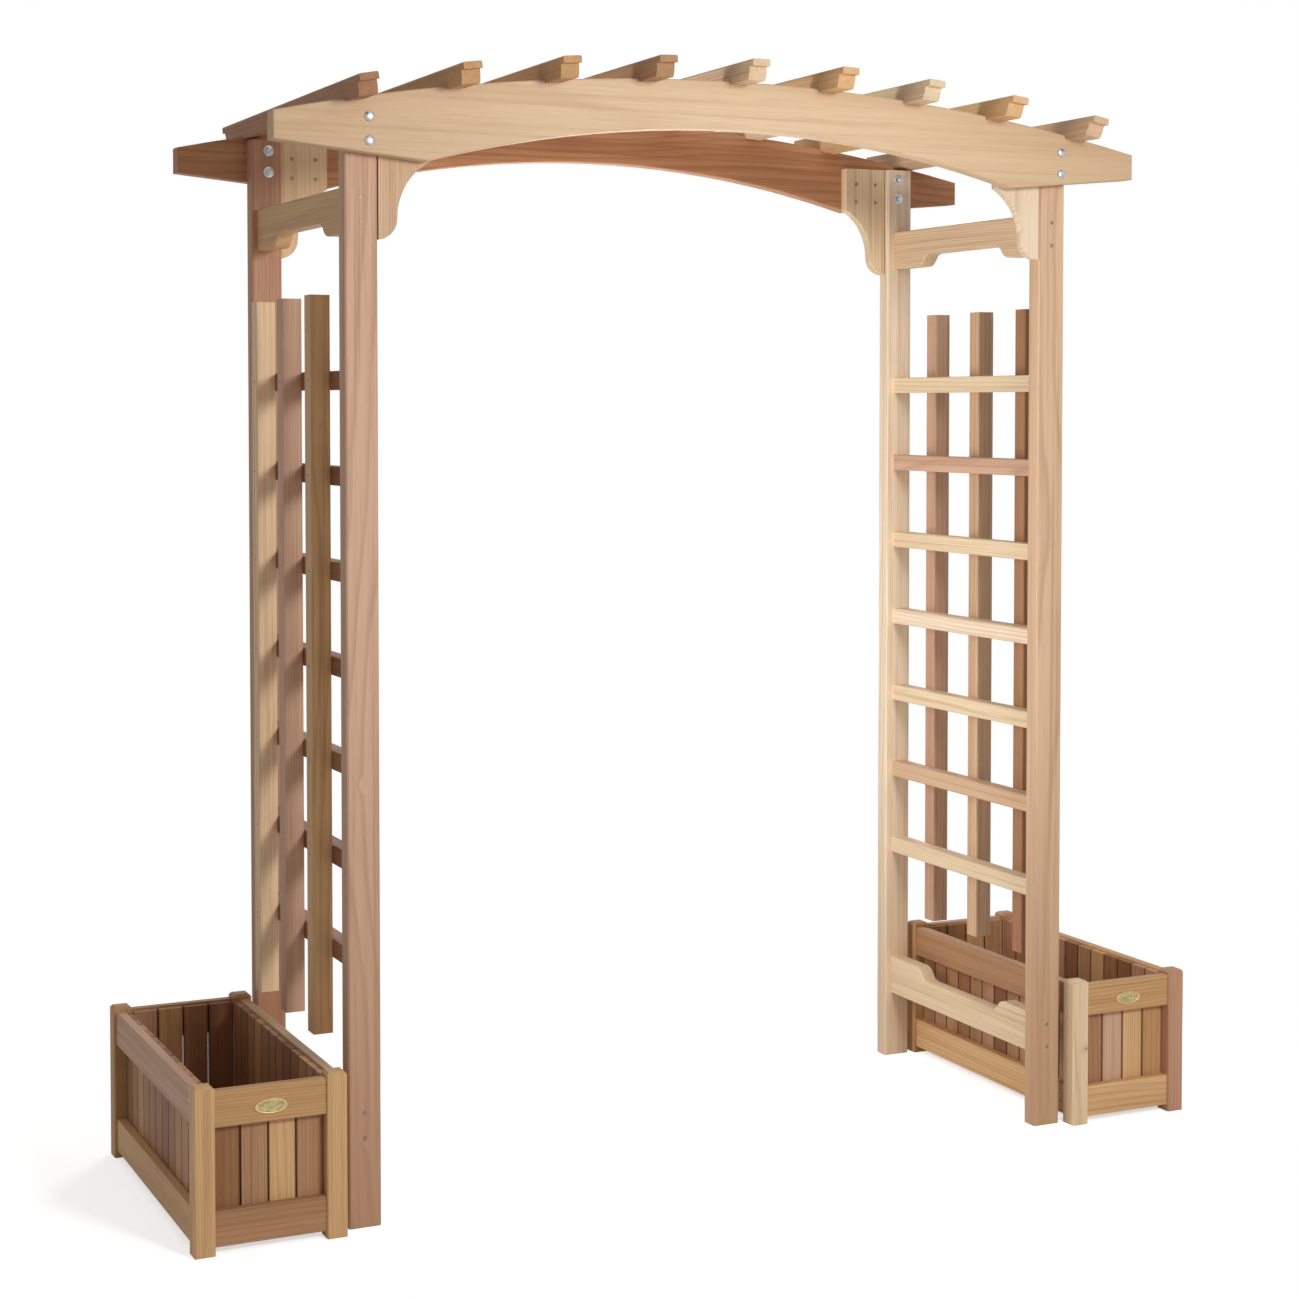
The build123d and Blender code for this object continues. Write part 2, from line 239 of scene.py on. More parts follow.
class Wire:
    """One output socket, with arithmetic that adds the nodes for it."""

    def __init__(self, tree, socket=None):
        self.tree = tree
        self.socket = socket

    def node(self, kind, settings=None, inputs=None, output=0):
        """Add a node, set it up, feed its sockets, and return one of its outputs."""
        made = self.tree.nodes.new(kind)
        for setting, value in (settings or {}).items():
            if setting == "stops":
                self.fill_ramp(made.color_ramp, value)
            else:
                setattr(made, setting, value)
        for place, value in (inputs or {}).items():
            if isinstance(value, Wire):
                self.tree.links.new(value.socket, made.inputs[place])
            else:
                made.inputs[place].default_value = value
        return Wire(self.tree, made.outputs[output])

    @staticmethod
    def fill_ramp(ramp, stops):
        for number, (position, colour) in enumerate(stops):
            if number < len(ramp.elements):
                ramp.elements[number].position = position
            else:
                ramp.elements.new(position)
        for element, (position, colour) in zip(ramp.elements, stops):
            element.color = (*colour, 1.0)

    def math(self, operation, *values):
        return self.node("ShaderNodeMath", {"operation": operation}, dict(enumerate(values)))

    def __add__(self, other):
        return self.math("ADD", self, other)

    def __sub__(self, other):
        return self.math("SUBTRACT", self, other)

    def __rsub__(self, other):
        return self.math("SUBTRACT", other, self)

    def __mul__(self, other):
        return self.math("MULTIPLY", self, other)

    def __truediv__(self, other):
        return self.math("DIVIDE", self, other)

    def __abs__(self):
        return self.math("ABSOLUTE", self)

    __radd__ = __add__
    __rmul__ = __mul__

    def parts(self):
        """Split a vector or colour into its three values."""
        split = self.node("ShaderNodeSeparateXYZ", inputs={0: self}).socket.node
        return tuple(Wire(self.tree, socket) for socket in split.outputs)

    def vector(self, x, y, z):
        return self.node("ShaderNodeCombineXYZ", inputs={0: x, 1: y, 2: z})

    def smooth(self, low, high, start=0.0, end=1.0):
        """Ease from start to end while this value goes from low to high."""
        sockets = {0: self, 1: low, 2: high, 3: start, 4: end}
        return self.node("ShaderNodeMapRange", {"interpolation_type": "SMOOTHSTEP"}, sockets)

    def scaled(self, size):
        """Multiply a vector by a number."""
        return self.node("ShaderNodeVectorMath", {"operation": "SCALE"}, {0: self, "Scale": size})

    def bump(self, strength, distance):
        """Turn this height into a normal."""
        sockets = {"Strength": strength, "Distance": distance, "Height": self}
        return self.node("ShaderNodeBump", inputs=sockets)

    def noise(self, place, detail=2.0, roughness=0.5):
        return self.node("ShaderNodeTexNoise", inputs={
            "Vector": place, "Scale": 1.0, "Detail": detail, "Roughness": roughness
        })

    def blend(self, factor, first, second):
        """Mix two colours."""
        ends = {0: factor}
        for place, colour in ((6, first), (7, second)):
            ends[place] = colour if isinstance(colour, Wire) else (*colour[:3], 1.0)
        return self.node("ShaderNodeMix", {"data_type": "RGBA"}, ends, output=2)

    def ramp(self, stops, interpolation="LINEAR"):
        made = self.node("ShaderNodeValToRGB", {"stops": stops}, {0: self})
        made.socket.node.color_ramp.interpolation = interpolation
        return made


def new_finish(name):
    """Start a material. Return it, its main shader, a wire to draw from and the place on the piece."""
    material = bpy.data.materials.new(name)
    material.use_nodes = True
    wire = Wire(material.node_tree)
    place = wire.node("ShaderNodeTexCoord", output="Object")
    return material, wire.tree.nodes["Principled BSDF"], wire, place


def feed(shader, place, value):
    if isinstance(value, Wire):
        value.tree.links.new(value.socket, shader.inputs[place])
    else:
        shader.inputs[place].default_value = value


def cosine(value):
    return value.math("COSINE", value) if isinstance(value, Wire) else math.cos(value)


def sine(value):
    return value.math("SINE", value) if isinstance(value, Wire) else math.sin(value)


# Cedar

# Darkness through one growth ring
RING_STOPS = (
    (0.0, (0.0, 0.0, 0.0)),
    (0.55, (0.22, 0.22, 0.22)),
    (0.82, (1.0, 1.0, 1.0)),
    (1.0, (0.0, 0.0, 0.0)),
)

# Places in X, Y and Z of the directions across, through and along the grain
AXES = {"X": (1, 2, 0), "Y": (0, 2, 1), "Z": (0, 1, 2)}

# Noise in the wood: cycles per metre across the grain and along it, detail and roughness
SWAY = (2.6, 0.75, 2.0, 0.5)
WAVER = (24.0, 2.4, 2.0, 0.5)
BAND = (11.0, 0.5, 2.0, 0.5)
STREAK = (46.0, 0.9, 4.0, 0.62)
VEIN = (150.0, 1.3, 3.0, 0.6)
FIBRE = (520.0, 11.0, 2.0, 0.5)

# Part of a noise over which it takes effect, from low to high, and its strength at these two if not 0 and 1
PALE_STREAK = (0.36, 0.66)
DARK_BAND = (0.48, 0.78)
DARK_VEIN = (0.46, 0.66)
DARK_FIBRE = (0.50, 0.78)
VEIN_IN_STREAK = (0.40, 0.62, 1.0, 0.2)
OLD_BOARD = (0.3, 1.0, 0.0, 0.25)

# Strength of dark bands as a share of that of pale streaks
BAND_SHARE = 0.6

# The normal's share along the grain over which a face turns into a sawn end
END_FACING = (0.75, 0.95)

# How far sway, waver and knots push the rings aside, in metres
SWAY_REACH = 0.04
WAVER_REACH = 0.004
KNOT_REACH = 0.003

# Places for knots in a metre, the share of them that stay empty, and a knot's darkness
KNOT_CELLS = 7.0
KNOT_RARITY = 0.72
KNOT_DARKNESS = 0.7

# Darkest part of a knot and reach of the bent rings, as shares of its radius
KNOT_CORE = 0.3
KNOT_HALO = 4.0

# Shares of red, green and blue that turn a board's tone into its other colours
PALE_WOOD = (1.13, 1.15, 1.18)
# Late wood, also the colour of the painted shade at post feet and beam tips
LATE_WOOD_AND_SHADE = (0.66, 0.55, 0.46)
# Painted light on sawn ends
SAWN_END_LIGHT = (1.12, 1.22, 1.38)
# Painted shade in the seams between boards
SEAM_SHADE_SHARES = (0.36, 0.28, 0.24)

# Roughness of planed wood and what changes it, and gloss
PLANED = 0.62
PORE_ROUGHNESS = 0.12
RING_POLISH = 0.06
SAWN_ROUGHNESS = 0.14
GLOSS = 0.28

# Relief as shares of its height
RING_RISE = 0.35
FIBRE_DEPTH = 0.6
VEIN_DEPTH = 0.3
KNOT_DEPTH = 0.5
BUMP_STRENGTH = 0.40

# Distance along the grain between boards of one node, and the longest for a single board, in metres
BOARD_SPREAD = 3.71
LONGEST_SHIFT = 50


def shaded(colour, *shares):
    """Multiply a colour by a share for red, green and blue."""
    if isinstance(colour, Wire):
        both = {0: 1.0, 6: colour, 7: (*shares, 1.0)}
        return colour.node("ShaderNodeMix", {"data_type": "RGBA", "blend_type": "MULTIPLY"}, both, output=2)
    return tuple(level * share for level, share in zip(colour, shares))


def cedar(
    name, along, tones, seed, splits=(), ordered=False, foot_shade=False, tips=False, figure=1.0, seams=False
):
    """Make sawn cedar with its grain along one axis.

    Each split (axis, start, pitch, weight) numbers the boards of a node along an axis. Each board then has
    its own growth rings and takes one of the tones, in their order or by chance. A post on the ground gets
    painted shade that darkens it towards its foot, a beam with tips gets painted shade towards them, and
    boards with seams get painted shade along them. Sawn ends get painted light. Figure makes the grain
    stronger.
    """
    grain = bpy.context.scene.arbor_grain
    palette = bpy.context.scene.arbor_tones
    material, shader, wire, place = new_finish(name)
    xyz = place.parts()
    across, thick, along_grain = (xyz[axis] for axis in AXES[along])
    colours = [tuple(getattr(palette, one)) for one in tones]
    body = colours[0]
    if splits:
        number = 0.0
        for axis, start, pitch, weight in splits:
            board = (xyz["XYZ".index(axis)] - start) / pitch
            number = number + board.math("FLOOR", board) * weight
        luck = wire.node(
            "ShaderNodeTexWhiteNoise", {"noise_dimensions": "1D"}, {"W": number + seed}, output="Color"
        )
        turn, draw, age = luck.parts()
        apart = (number + seed) * BOARD_SPREAD
        if len(colours) > 1:
            if ordered:
                draw = (number + 0.5) / len(colours)
            stops = [(rank / len(colours), colour) for rank, colour in enumerate(colours)]
            body = draw.ramp(stops, "CONSTANT")
    else:
        dice = random.Random(seed)
        turn = dice.random()
        apart = dice.random() * LONGEST_SHIFT
    angle = turn * math.pi
    run = along_grain + apart

    def stretched(across_rate, along_rate, detail, roughness):
        spot = wire.vector(across * across_rate, thick * across_rate, run * along_rate)
        return wire.noise(spot, detail, roughness)

    # Knots push the rings aside
    cells = wire.vector(across * KNOT_CELLS, thick * KNOT_CELLS, run * KNOT_CELLS)
    knot_cell = wire.node("ShaderNodeTexVoronoi", inputs={"Vector": cells, "Scale": 1.0})
    from_knot = knot_cell / KNOT_CELLS
    chance = Wire(wire.tree, knot_cell.socket.node.outputs["Color"]).parts()[0]
    chosen = chance.math("GREATER_THAN", chance, KNOT_RARITY)
    radius = grain.knot_radius
    near_knot = from_knot.smooth(0.0, radius * KNOT_HALO, 1.0, 0.0) * chosen
    in_knot = from_knot.smooth(radius * KNOT_CORE, radius, 1.0, 0.0) * chosen

    sway = stretched(*SWAY) - 0.5
    waver = stretched(*WAVER) - 0.5
    depth = across * cosine(angle) + thick * sine(angle) + sway * (SWAY_REACH * figure)
    depth = depth + waver * WAVER_REACH + near_knot * KNOT_REACH
    phase = depth / grain.ring_spacing + apart
    ring = phase.math("FRACT", phase).ramp(RING_STOPS).parts()[0]

    band = stretched(*BAND)
    streak = stretched(*STREAK)
    vein = stretched(*VEIN)
    pore = stretched(*FIBRE).smooth(*DARK_FIBRE)

    pale = shaded(body, *PALE_WOOD)
    # Late wood colour, also used for painted shade at feet and tips
    deep = shaded(body, *LATE_WOOD_AND_SHADE)
    broad = grain.streak_strength * figure
    colour = wire.blend(streak.smooth(*PALE_STREAK) * broad, body, pale)
    colour = wire.blend(band.smooth(*DARK_BAND) * (broad * BAND_SHARE), colour, deep)
    lines = vein.smooth(*DARK_VEIN) * streak.smooth(*VEIN_IN_STREAK)
    colour = wire.blend(lines * (grain.vein_strength * figure), colour, deep)
    colour = wire.blend(ring * (grain.ring_strength * figure), colour, deep)
    colour = wire.blend(pore * grain.fibre_strength, colour, deep)
    if splits and not ordered:
        colour = wire.blend(age.smooth(*OLD_BOARD), colour, deep)
    # Painted shade in the seams between boards
    if seams:
        share = board.math("FRACT", board)
        from_seam = share.math("MINIMUM", share, 1.0 - share) * pitch
        painted_seam_shade = from_seam.smooth(0.0, grain.seam_shade_width, grain.seam_shade_strength, 0.0)
        colour = wire.blend(painted_seam_shade, colour, shaded(body, *SEAM_SHADE_SHARES))
    # Painted shade: a post drawn darker towards its foot
    if foot_shade:
        colour = wire.blend(xyz[2].smooth(0.0, grain.foot_shade_reach, grain.foot_shade_strength, 0.0), colour, deep)
    # Painted shade: the front beam drawn darker towards its tips
    if tips:
        outwards = abs(xyz[0]).smooth(grain.tip_shade_start, CAD_HIGH.x, 0.0, grain.tip_shade_strength)
        colour = wire.blend(outwards, colour, deep)

    # Painted light: sawn ends are drawn paler than planed faces, as if lit full on
    facing = wire.node("ShaderNodeTexCoord", output="Normal").parts()[AXES[along][2]]
    sawn = abs(facing).smooth(*END_FACING)
    colour = wire.blend(sawn * grain.end_light_strength, colour, shaded(body, *SAWN_END_LIGHT))
    colour = wire.blend(in_knot * KNOT_DARKNESS, colour, tuple(palette.knot))

    roughness = PLANED + pore * PORE_ROUGHNESS - ring * RING_POLISH + sawn * SAWN_ROUGHNESS
    height = ring * RING_RISE - pore * FIBRE_DEPTH - lines * VEIN_DEPTH
    height = height - in_knot * KNOT_DEPTH + sawn * waver
    feed(shader, "Base Color", colour)
    feed(shader, "Roughness", roughness)
    feed(shader, "Specular IOR Level", GLOSS)
    feed(shader, "Normal", height.bump(BUMP_STRENGTH, grain.relief))
    return material


def dress(node, material):
    """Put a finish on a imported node."""
    frame["nodes"][node].material_slots[0].material = material


def ease(node, width):
    """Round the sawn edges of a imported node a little."""
    sharp_edge = math.radians(40)
    thing = frame["nodes"][node]
    weld = thing.modifiers.new("Weld", "WELD")
    weld.merge_threshold = TOUCHING
    rounding = thing.modifiers.new("Eased Edges", "BEVEL")
    rounding.width = width
    rounding.segments = 2
    rounding.limit_method = "ANGLE"
    rounding.angle_limit = sharp_edge
    rounding.harden_normals = True


def middle(node):
    low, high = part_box(node)
    return (low + high) / 2


def boards_along(node, axis, count, gap):
    """Return the split that numbers equal boards along an axis."""
    low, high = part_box(node)
    way = "XYZ".index(axis)
    pitch = (high[way] - low[way] + gap) / count
    return (axis, low[way] - gap / 2, pitch, 1.0)


def halves(node, axis, weight=1.0):
    """Return the split that tells the two pieces of a pair apart."""
    margin = 0.002
    low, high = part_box(node)
    way = "XYZ".index(axis)
    return (axis, low[way] - margin, (high[way] - low[way]) / 2 + 2 * margin, weight)


# Modelling helpers

def coat(thing, material, degrees=32):
    """Give a modelled piece its finish, and smooth it across edges up to an angle."""
    thing.data.materials.clear()
    thing.data.materials.append(material)
    bpy.ops.object.select_all(action="DESELECT")
    thing.select_set(True)
    bpy.context.view_layer.objects.active = thing
    bpy.ops.object.shade_smooth_by_angle(angle=math.radians(degrees))


def begin_round(name, sides, radius, depth):
    """Add a cylinder about the Z axis, standing on the ground plane, and go into edit mode."""
    bpy.ops.object.select_all(action="DESELECT")
    bpy.ops.mesh.primitive_cylinder_add(
        vertices=sides, radius=radius, depth=depth, location=(0, 0, depth / 2)
    )
    thing = bpy.context.object
    thing.name = name
    bpy.ops.object.transform_apply(location=True, rotation=True, scale=True)
    bpy.ops.object.mode_set(mode="EDIT")
    return thing


def pick(thing, kind, test):
    """Select the vertices, edges or faces that pass a test, in edit mode."""
    bpy.ops.object.mode_set(mode="OBJECT")
    mesh = thing.data
    bpy.context.tool_settings.mesh_select_mode = (kind == "vertices", kind == "edges", kind == "polygons")
    for part in (mesh.vertices, mesh.edges, mesh.polygons):
        part.foreach_set("select", [False] * len(part))
    for part in getattr(mesh, kind):
        part.select = test(part)
    bpy.ops.object.mode_set(mode="EDIT")


def faces_up(face):
    return face.normal.z > NEARLY_FLAT


def faces_down(face):
    return face.normal.z < -NEARLY_FLAT


def edge_ends(thing, edge):
    return [thing.data.vertices[number].co for number in edge.vertices]


def edge_middle(thing, edge):
    first, second = edge_ends(thing, edge)
    return (first + second) / 2


def end_edit():
    bpy.ops.mesh.select_all(action="SELECT")
    bpy.ops.mesh.normals_make_consistent(inside=False)
    bpy.ops.object.mode_set(mode="OBJECT")


def lift(distance):
    bpy.ops.mesh.extrude_region_move(TRANSFORM_OT_translate={"value": (0, 0, distance)})


def scale(share):
    bpy.ops.transform.resize(value=(share, share, 1.0), center_override=(0, 0, 0))


def round_head(name, sides, radius, depth, steps, taper=1.0):
    """Model a round piece that goes on from its top in steps of (rise, share of the width before)."""
    thing = begin_round(name, sides, radius, depth)
    pick(thing, "polygons", faces_down)
    scale(taper)
    pick(thing, "polygons", faces_up)
    for rise, share in steps:
        lift(rise)
        scale(share)
    end_edit()
    return thing


def facing_matrix(direction, turn=0.0):
    """Return the turn that points a piece's Z axis in a direction."""
    aim = Vector(direction).to_track_quat("Z", "Y").to_matrix().to_4x4()
    return aim @ Matrix.Rotation(turn, 4, "Z")


def copies(pattern, name, places):
    """Copy a piece to every (place, direction, turn), each with its own mesh, and join the copies."""
    made = []
    for spot, direction, turn in places:
        twin = pattern.copy()
        twin.data = pattern.data.copy()
        twin.data.transform(Matrix.Translation(spot) @ facing_matrix(direction, turn))
        bpy.context.collection.objects.link(twin)
        made.append(twin)
    bpy.ops.object.select_all(action="DESELECT")
    for twin in made:
        twin.select_set(True)
    bpy.context.view_layer.objects.active = made[0]
    if len(made) > 1:
        bpy.ops.object.join()
    joined = bpy.context.object
    joined.name = name
    joined.data.name = name
    return joined


def discard(pattern):
    mesh = pattern.data
    bpy.data.objects.remove(pattern)
    bpy.data.meshes.remove(mesh)


# Metal finishes

def plated_steel(metals):
    """Bright zinc plating with soft clouds."""
    material, shader, wire, place = new_finish("Plated Steel")
    cloud = wire.noise(place.scaled(160.0), detail=3.0)
    grit = wire.noise(place.scaled(1400.0))
    feed(shader, "Base Color", wire.blend(cloud.smooth(0.3, 0.7), metals.steel, metals.steel_cloud))
    feed(shader, "Metallic", 1.0)
    feed(shader, "Roughness", cloud.smooth(0.25, 0.75, 0.24, 0.40) + grit * 0.06)
    feed(shader, "Normal", grit.bump(strength=0.12, distance=0.0002))
    return material


def dull_zinc(metals):
    """Zinc that has gone dull and brown."""
    material, shader, wire, place = new_finish("Dull Zinc")
    cloud = wire.noise(place.scaled(420.0), detail=3.0)
    feed(shader, "Base Color", wire.blend(cloud.smooth(0.3, 0.7), metals.zinc, metals.zinc_cloud))
    feed(shader, "Metallic", cloud.smooth(0.3, 0.7, 0.75, 0.45))
    feed(shader, "Roughness", cloud.smooth(0.25, 0.75, 0.46, 0.64))
    feed(shader, "Normal", cloud.bump(strength=0.2, distance=0.0002))
    return material


def aged_brass(metals):
    """Tarnished brass with small pits."""
    material, shader, wire, place = new_finish("Aged Brass")
    x, y, z = place.parts()
    cloud = wire.noise(wire.vector(x * 120.0, y * 120.0, z * 190.0), detail=4.0, roughness=0.65)
    grit = wire.noise(place.scaled(900.0))
    colour = wire.blend(cloud.smooth(0.35, 0.65), metals.field, metals.field_cloud)
    feed(shader, "Base Color", wire.blend(grit.smooth(0.5, 0.7, 0.0, 0.4), colour, metals.field_pit))
    feed(shader, "Metallic", cloud.smooth(0.3, 0.7, 0.95, 0.7))
    feed(shader, "Roughness", 0.42 + grit * 0.16)
    feed(shader, "Normal", cloud.bump(strength=0.2, distance=0.0003))
    return material


def brass(metals):
    """Brass brushed along the plate."""
    material, shader, wire, place = new_finish("Bare Brass")
    x, y, z = place.parts()
    brushed = wire.noise(wire.vector(x * 90.0, y * 90.0, z * 2600.0), detail=3.0, roughness=0.6)
    cloud = wire.noise(place.scaled(70.0), detail=3.0)
    colour = wire.blend(brushed.smooth(0.3, 0.7), metals.brass, metals.brass_line)
    colour = wire.blend(cloud.smooth(0.5, 0.75, 0.0, 0.4), colour, metals.brass_cloud)
    feed(shader, "Base Color", colour)
    feed(shader, "Metallic", 1.0)
    feed(shader, "Roughness", 0.34 + brushed * 0.12)
    feed(shader, "Normal", brushed.bump(strength=0.15, distance=0.0002))
    return material


# Operators

class ARBOR_OT_posts(Operator):
    """Finish the posts and the shaped brackets."""
    bl_idname = "arbor.posts"
    bl_label = "Finish Posts and Brackets"

    def execute(self, context):
        post_tones = ("blush", "sand", "rose", "cream")
        bracket_tones = ("sand", "cream", "wheat", "straw")
        bracket_ease = 0.0015
        post_seed = 11
        bracket_seed = 21
        tones = zip(CORNERS, post_tones, bracket_tones)
        for number, (corner, post_tone, bracket_tone) in enumerate(tones):
            # Posts get painted shade towards their feet
            post = cedar("Cedar Post " + corner, "Z", (post_tone,), post_seed + number, foot_shade=True)
            dress("post_" + corner, post)
            bracket = cedar("Cedar Bracket " + corner, "Z", (bracket_tone,), bracket_seed + number)
            dress("bracket_" + corner, bracket)
            ease("bracket_" + corner, bracket_ease)
        return {"FINISHED"}


class ARBOR_OT_beams(Operator):
    """Finish the two arched beams."""
    bl_idname = "arbor.beams"
    bl_label = "Finish Beams"

    def execute(self, context):
        # The front beam gets painted shade towards its tips
        dress("arch_beam_front", cedar("Cedar Front Beam", "X", ("beige",), seed=31, tips=True, figure=0.6))
        dress("arch_beam_back", cedar("Cedar Back Beam", "X", ("cinnamon",), seed=32, figure=1.3))
        return {"FINISHED"}


class ARBOR_OT_rafters(Operator):
    """Finish the rafters on the arch."""
    bl_idname = "arbor.rafters"
    bl_label = "Finish Rafters"

    def execute(self, context):
        tones = ("chestnut", "amber", "amber", "fawn", "beige", "honey", "straw", "honey", "sand")
        first_seed = 41
        for number, one in enumerate(tones):
            label = number + 1
            dress("rafter_%d" % label, cedar("Cedar Rafter %d" % label, "Y", (one,), first_seed + number))
        return {"FINISHED"}


class ARBOR_OT_side_frames(Operator):
    """Finish the side rails, trellis rails and trellis slats."""
    bl_idname = "arbor.side_frames"
    bl_label = "Finish Side Frames"

    def execute(self, context):
        rail_height = context.scene.arbor_fittings.trellis_rail
        side_rails = {
            "left": {"top": ("honey", 68), "bottom": ("olive", 71)},
            "right": {"top": ("beige", 73), "bottom": ("straw", 76)},
        }
        slats = {
            "left": {"front": ("honey", 92), "middle": ("blush", 93), "back": ("wheat", 91)},
            "right": {"front": ("chestnut", 99), "middle": ("sand", 100), "back": ("blush", 98)},
        }
        # The left rails take darker tones than the right ones: partly their own colour, partly painted shade
        # for the shade behind the slats
        rail_tones = {
            "left": ("russet", "walnut", "umber", "walnut", "russet", "walnut", "russet"),
            "right": ("straw", "sand", "straw", "cream", "straw", "blush", "straw"),
        }
        rail_seeds = {"left": 71, "right": 72}
        for side in SIDES:
            for level, (one, seed) in side_rails[side].items():
                rail = "%s_side_rail_%s" % (level, side)
                dress(rail, cedar("Cedar " + rail, "Y", (one,), seed))
            rails = "trellis_rails_" + side
            low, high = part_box(rails)
            gap = (high.z - low.z - TRELLIS_RAILS * rail_height) / (TRELLIS_RAILS - 1)
            split = boards_along(rails, "Z", TRELLIS_RAILS, gap)
            tones, seed = rail_tones[side], rail_seeds[side]
            dress(rails, cedar("Cedar " + rails, "Y", tones, seed, (split,), ordered=True))
            for line, (one, seed) in slats[side].items():
                slat = "trellis_slat_%s_%s" % (line, side)
                dress(slat, cedar("Cedar " + slat, "Z", (one,), seed))
        return {"FINISHED"}


class ARBOR_OT_planters(Operator):
    """Finish both planter boxes."""
    bl_idname = "arbor.planters"
    bl_label = "Finish Planters"

    def execute(self, context):
        board_gap = 0.003
        floor_gap = 0.009
        long_count = 12
        end_count = 4
        floor_count = 9
        board_ease = 0.0014
        mixed = ("umber", "chestnut", "rose", "russet", "fawn", "amber", "chestnut")
        tones = {
            "left": {
                "legs": ("honey", "honey", "amber", "fawn"),
                "top_side_rails": ("blush", "olive"), "top_end_rails": ("amber", "fawn"),
                "bottom_side_rails": ("honey", "fawn"), "bottom_end_rails": ("fawn", "amber"),
                "front_boards": ("umber", "fawn", "honey", "fawn"),
            },
            "right": {
                "legs": ("straw", "rose", "amber", "fawn"),
                "top_side_rails": ("fawn", "amber"), "top_end_rails": ("amber", "fawn"),
                "bottom_side_rails": ("honey", "fawn"), "bottom_end_rails": ("honey", "amber"),
                "front_boards": ("chestnut", "blush", "honey", "amber"),
            },
        }
        first_seeds = {"left": 121, "right": 141}
        for side in SIDES:
            chosen = tones[side]
            parts = (
                ("legs", "Z", ((halves, "X"), (halves, "Y", 2.0))),
                ("top_side_rails", "Y", ((halves, "X"),)),
                ("top_end_rails", "X", ((halves, "Y"),)),
                ("bottom_side_rails", "Y", ((halves, "X"),)),
                ("bottom_end_rails", "X", ((halves, "Y"),)),
                ("front_boards", "Z", ((boards_along, "X", end_count, board_gap),)),
                ("outer_boards", "Z", ((boards_along, "Y", long_count, board_gap),)),
                ("inner_boards", "Z", ((boards_along, "Y", long_count, board_gap),)),
                ("back_boards", "Z", ((boards_along, "X", end_count, board_gap),)),
                ("floor_cleats", "Y", ((halves, "X"),)),
                ("floor_slats", "X", ((boards_along, "Y", floor_count, floor_gap),)),
            )
            for seed, (part, along, splits) in enumerate(parts, start=first_seeds[side]):
                node = "planter_%s_%s" % (part, side)
                splits = [make(node, *rest) for make, *rest in splits]
                # Board nodes get painted shade along their seams
                finish = cedar(
                    "Cedar " + node, along, chosen.get(part, mixed), seed, splits,
                    ordered=part in chosen, seams="boards" in part
                )
                dress(node, finish)
                if "boards" in part or "floor" in part:
                    ease(node, board_ease)
        return {"FINISHED"}


